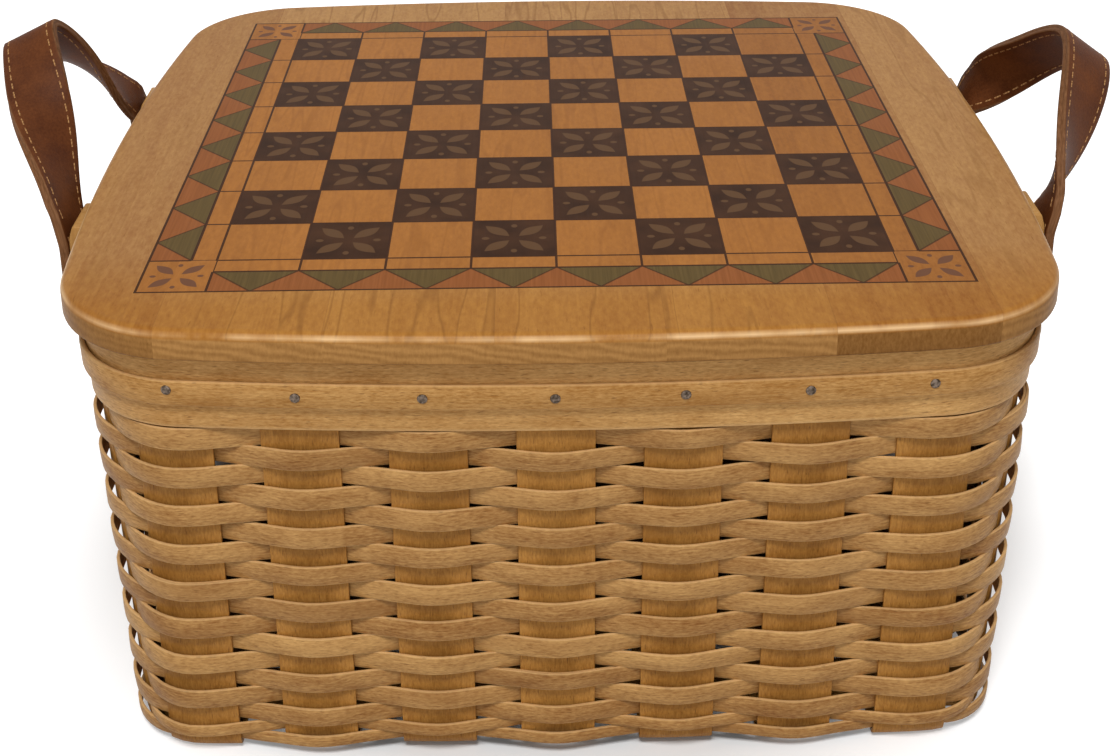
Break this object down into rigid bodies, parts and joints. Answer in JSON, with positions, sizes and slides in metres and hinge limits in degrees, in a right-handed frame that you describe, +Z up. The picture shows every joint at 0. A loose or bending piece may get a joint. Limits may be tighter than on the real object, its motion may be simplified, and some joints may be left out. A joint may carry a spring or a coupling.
{
  "type": "lidded basket",
  "caption": "Square splint-woven basket with rounded corners, a drop-on wooden lid printed as a checkerboard, and two leather strap handles.",
  "frame": {"origin": "centre of the whole row's plan, on the floor under the basket", "axes": "+Z up; the front wall faces -Y; the handles stand at +X and -X, the longest way"},
  "size_m": [0.4752, 0.3774, 0.2455],
  "materials": {
    "stake_splint": "satin varnish, grain up the wall",
    "weaver_splint": "satin varnish, grain along the row",
    "rim_band": "satin varnish, grain along the band",
    "lid_board": "satin varnish over a stained and printed board",
    "leather_strap": "smooth, stitched along both edges",
    "rivet": "aged, domed head"
  },
  "bodies": {
    "basket": {"stake_front_back_1": "stake_splint", "stake_front_back_2": "stake_splint", "stake_front_back_3": "stake_splint", "stake_front_back_4": "stake_splint", "stake_front_back_5": "stake_splint", "stake_front_back_6": "stake_splint", "stake_front_back_7": "stake_splint", "stake_left_right_1": "stake_splint", "stake_left_right_2": "stake_splint", "stake_left_right_3": "stake_splint", "stake_left_right_4": "stake_splint", "stake_left_right_5": "stake_splint", "stake_left_right_6": "stake_splint", "stake_left_right_7": "stake_splint", "weaver_row_01": "weaver_splint", "weaver_row_02": "weaver_splint", "weaver_row_03": "weaver_splint", "weaver_row_04": "weaver_splint", "weaver_row_05": "weaver_splint", "weaver_row_06": "weaver_splint", "weaver_row_07": "weaver_splint", "weaver_row_08": "weaver_splint", "weaver_row_09": "weaver_splint", "weaver_row_10": "weaver_splint", "weaver_row_11": "weaver_splint", "weaver_row_12": "weaver_splint", "weaver_row_13": "weaver_splint", "weaver_row_14": "weaver_splint", "weaver_row_15": "weaver_splint", "weaver_row_16": "weaver_splint", "weaver_row_17": "weaver_splint", "weaver_row_18": "weaver_splint", "rim_outer_band": "rim_band", "rim_inner_band": "rim_band", "rim_trim_strip": "rim_band", "ear_left_front": "rim_band", "ear_left_back": "rim_band", "ear_right_front": "rim_band", "ear_right_back": "rim_band", "strap_end_left_front": "leather_strap", "strap_end_left_back": "leather_strap", "strap_end_right_front": "leather_strap", "strap_end_right_back": "leather_strap", "rivet_left_front": "rivet", "rivet_left_back": "rivet", "rivet_right_front": "rivet", "rivet_right_back": "rivet"},
    "lid": {"lid_panel": "lid_board", "lid_cleat_front": "lid_board", "lid_cleat_back": "lid_board"},
    "handle_left": {"strap_loop_left": "leather_strap"},
    "handle_right": {"strap_loop_right": "leather_strap"}
  },
  "joints": [
    {"name": "lift_lid", "type": "slide", "parent": "basket", "child": "lid", "axis": [0, 0, 1], "range_m": [0, 0.2]},
    {"name": "swing_left_handle", "type": "hinge", "parent": "basket", "child": "handle_left", "pos_m": [-0.19914, 0, 0.18], "axis": [0, -1, 0], "range_deg": [-18, 96]},
    {"name": "swing_right_handle", "type": "hinge", "parent": "basket", "child": "handle_right", "pos_m": [0.19914, 0, 0.18], "axis": [0, 1, 0], "range_deg": [-18, 96]}
  ]
}
